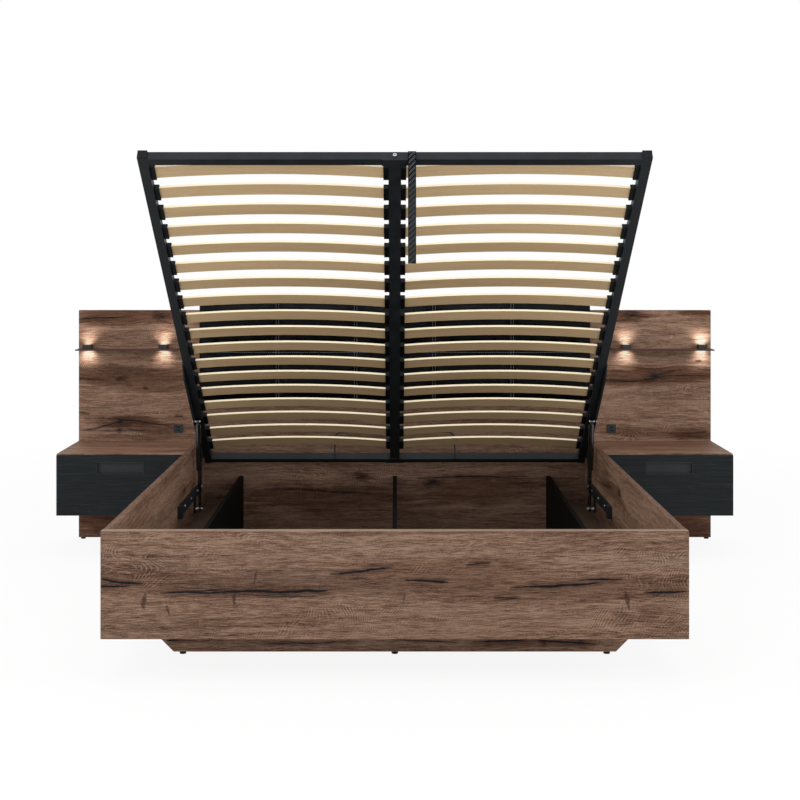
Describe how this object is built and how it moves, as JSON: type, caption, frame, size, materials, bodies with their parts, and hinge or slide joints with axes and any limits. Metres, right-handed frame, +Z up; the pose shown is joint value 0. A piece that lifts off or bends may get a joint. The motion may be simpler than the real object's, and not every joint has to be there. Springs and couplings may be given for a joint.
{
  "type": "ottoman bed",
  "caption": "Ottoman storage bed with a gas-lift slatted frame shown raised, wide quilted headboard, floating nightstands with drawers, lamp ledges and sockets.",
  "frame": {"origin": "on the floor, under the middle of the whole bed", "axes": "+X across the bed along the headboard, +Y from the foot end to the headboard, +Z up"},
  "size_m": [2.686, 2.091, 1.532],
  "materials": {
    "oak": "brown rustic oak laminate",
    "black_board": "black oak-grain laminate",
    "plain_board": "plain board",
    "black_leather": "black quilted leatherette",
    "slat_birch": "lacquered birch ply",
    "black_steel": "satin black powder coat",
    "black_plastic": "moulded black plastic",
    "bright_steel": "zinc-plated steel",
    "frame_rest": "black rubber on steel",
    "webbing": "woven black webbing",
    "lens": "frosted warm white diffuser"
  },
  "bodies": {
    "bed": {"footboard": "oak", "left_side_rail": "oak", "right_side_rail": "oak", "headboard_centre_panel": "oak", "left_wing_panel": "oak", "right_wing_panel": "oak", "nightstand_tops": "oak", "nightstand_sides": "oak", "nightstand_bottoms": "oak", "lamp_ledges": "oak", "front_plinth": "oak", "side_dividers": "black_board", "centre_divider": "black_board", "floor_battens": "plain_board", "floor_panels": "plain_board", "low_battens": "plain_board", "low_floor_panels": "plain_board", "nightstand_backs": "plain_board", "pad_backing_board": "plain_board", "wing_dowels": "plain_board", "headboard_pad": "black_leather", "base_plates": "black_steel", "corner_brackets": "black_steel", "lamp_housings": "black_steel", "usb_sockets": "black_plastic", "glide_feet": "black_plastic", "strut_lower_pins": "bright_steel", "base_plate_screws": "bright_steel", "rail_bolts": "bright_steel", "fixed_runners": "bright_steel", "frame_rests": "frame_rest", "lamp_lenses": "lens"},
    "lift_frame": {"left_side_tube": "black_steel", "right_side_tube": "black_steel", "foot_bar": "black_steel", "head_bar": "black_steel", "centre_rail": "black_steel", "tube_end_caps": "black_plastic", "left_slats": "slat_birch", "right_slats": "slat_birch", "outer_slat_holders": "black_plastic", "centre_slat_holders": "black_plastic", "joint_plates": "black_steel", "centre_bolts": "bright_steel", "lift_brackets": "black_steel", "bracket_bolts": "bright_steel", "hinge_pins": "bright_steel", "strut_upper_pins": "bright_steel", "mattress_retainer": "black_steel"},
    "strut_cylinders": {"strut_cylinders": "black_steel"},
    "strut_rods": {"strut_rods": "bright_steel"},
    "pull_strap": {"pull_strap": "webbing"},
    "left_drawer": {"left_drawer_front": "black_board", "left_drawer_box": "plain_board", "left_drawer_handle": "black_steel", "left_drawer_slides": "bright_steel"},
    "right_drawer": {"right_drawer_front": "black_board", "right_drawer_box": "plain_board", "right_drawer_handle": "black_steel", "right_drawer_slides": "bright_steel"}
  },
  "joints": [
    {"name": "frame_lift", "type": "hinge", "parent": "bed", "child": "lift_frame", "pos_m": [0, 0.8935, 0.4], "axis": [1, 0, 0], "range_deg": [0, 36.1]},
    {"name": "strut_cylinder_swing", "type": "hinge", "parent": "lift_frame", "child": "strut_cylinders", "pos_m": [0, 0.65028, 0.54271], "axis": [1, 0, 0], "range_deg": [-18.05, 0]},
    {"name": "strut_rod_swing", "type": "hinge", "parent": "bed", "child": "strut_rods", "pos_m": [0, 0.71461, 0.182], "axis": [1, 0, 0], "range_deg": [0, 18.05]},
    {"name": "strap_swing", "type": "hinge", "parent": "lift_frame", "child": "pull_strap", "pos_m": [0, -0.62611, 1.50688], "axis": [1, 0, 0], "range_deg": [0, 43]},
    {"name": "left_drawer_slide", "type": "slide", "parent": "bed", "child": "left_drawer", "axis": [0, -1, 0], "range_m": [0, 0.3]},
    {"name": "right_drawer_slide", "type": "slide", "parent": "bed", "child": "right_drawer", "axis": [0, -1, 0], "range_m": [0, 0.3]}
  ],
  "couplings": [
    {"joint": "strut_cylinder_swing", "follows": "frame_lift", "ratio": -0.5},
    {"joint": "strut_rod_swing", "follows": "frame_lift", "ratio": 0.5},
    {"joint": "strap_swing", "follows": "frame_lift", "ratio": 1.16}
  ]
}
